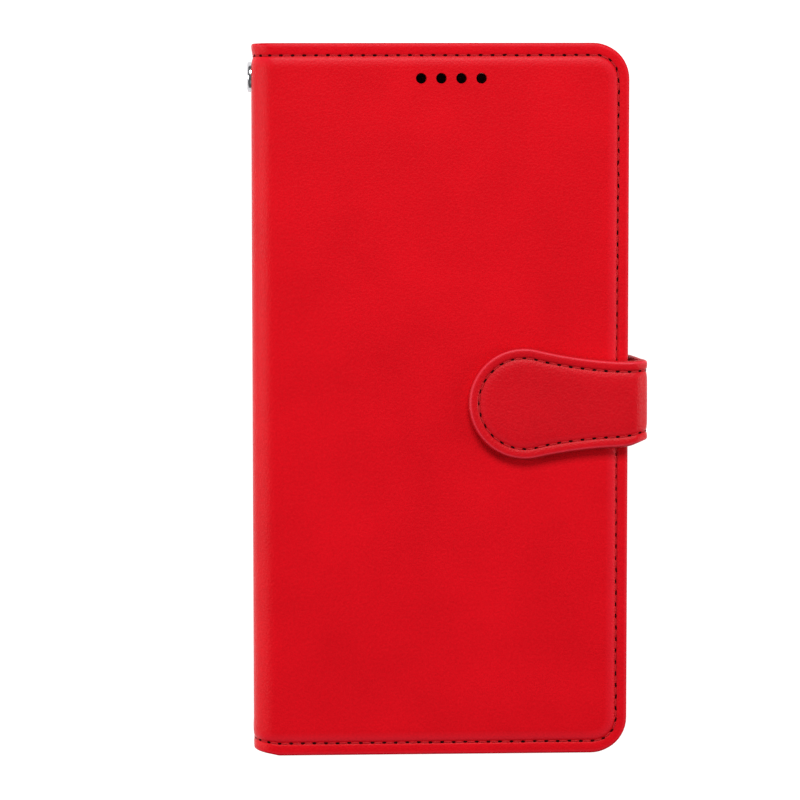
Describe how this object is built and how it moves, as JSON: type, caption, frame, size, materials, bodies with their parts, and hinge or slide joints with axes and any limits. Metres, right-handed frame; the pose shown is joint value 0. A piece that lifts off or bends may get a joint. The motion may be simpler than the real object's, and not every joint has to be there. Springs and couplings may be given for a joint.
{
  "type": "phone wallet case",
  "caption": "Folding leather phone case with a stiff front cover, card pockets, a moulded shell that holds the phone, and a magnetic strap that closes it",
  "frame": {"origin": "bottom centre of the bounding box of the closed case lying on its back cover, so z = 0 is the outer face of the back cover", "axes": "+Z is the outward normal of the front cover, +X runs from the spine to the opening edge, and +Y points to the top of the phone"},
  "size_m": [0.0952, 0.17, 0.0218],
  "materials": {
    "outer_leather": "red grained leather with a soft sheen",
    "inner_leather": "smoother red leather lining",
    "stiffener": "grey-brown pressed board",
    "thread": "red polyester thread",
    "shell_plastic": "matt black moulded elastomer",
    "adhesive_film": "double-sided film",
    "bright_metal": "bright nickel plate",
    "clasp_steel": "plain steel and magnet"
  },
  "bodies": {
    "back_cover": {"back_skin": "outer_leather", "back_board": "stiffener", "back_lining": "inner_leather", "back_seam_thread": "thread", "shell_adhesive": "adhesive_film", "phone_shell": "shell_plastic", "strap_tongue": "outer_leather", "back_crease_skin": "outer_leather", "back_crease_lining": "inner_leather", "strap_root_skin": "outer_leather", "strap_root_lining": "inner_leather"},
    "spine": {"spine_skin": "outer_leather", "spine_board": "stiffener", "spine_lining": "inner_leather", "spine_seam_thread": "thread", "eyelet": "bright_metal", "eyelet_washer": "bright_metal", "front_crease_skin": "outer_leather", "front_crease_lining": "inner_leather"},
    "front_cover": {"front_skin": "outer_leather", "front_board": "stiffener", "clasp_plate": "clasp_steel", "front_lining": "inner_leather", "front_seam_thread": "thread", "cash_pocket": "inner_leather", "card_pocket_1": "inner_leather", "card_pocket_2": "inner_leather", "card_pocket_3": "inner_leather", "pocket_seam_thread": "thread"},
    "strap_side": {"strap_side_skin": "outer_leather", "strap_side_lining": "inner_leather", "strap_side_thread": "thread", "strap_fold_skin": "outer_leather", "strap_fold_lining": "inner_leather"},
    "strap_tab": {"strap_tab_skin": "outer_leather", "strap_tab_lining": "inner_leather", "strap_core": "stiffener", "strap_magnet": "clasp_steel", "strap_tab_thread": "thread"}
  },
  "joints": [
    {"name": "spine_hinge", "type": "hinge", "parent": "back_cover", "child": "spine", "pos_m": [-0.04484, 0, 0.00176], "axis": [0, -1, 0], "range_deg": [0, 175], "deforming": ["back_crease_skin", "back_crease_lining"]},
    {"name": "cover_hinge", "type": "hinge", "parent": "spine", "child": "front_cover", "pos_m": [-0.04484, 0, 0.01694], "axis": [0, -1, 0], "range_deg": [0, 175], "deforming": ["front_crease_skin", "front_crease_lining"]},
    {"name": "strap_root", "type": "hinge", "parent": "back_cover", "child": "strap_side", "pos_m": [0.04481, -0.001, 0.00154], "axis": [0, 1, 0], "range_deg": [0, 170], "deforming": ["strap_root_skin", "strap_root_lining"]},
    {"name": "strap_fold", "type": "hinge", "parent": "strap_side", "child": "strap_tab", "pos_m": [0.04661, -0.001, 0.02043], "axis": [0, 1, 0], "range_deg": [0, 95], "deforming": ["strap_fold_skin", "strap_fold_lining"]}
  ]
}
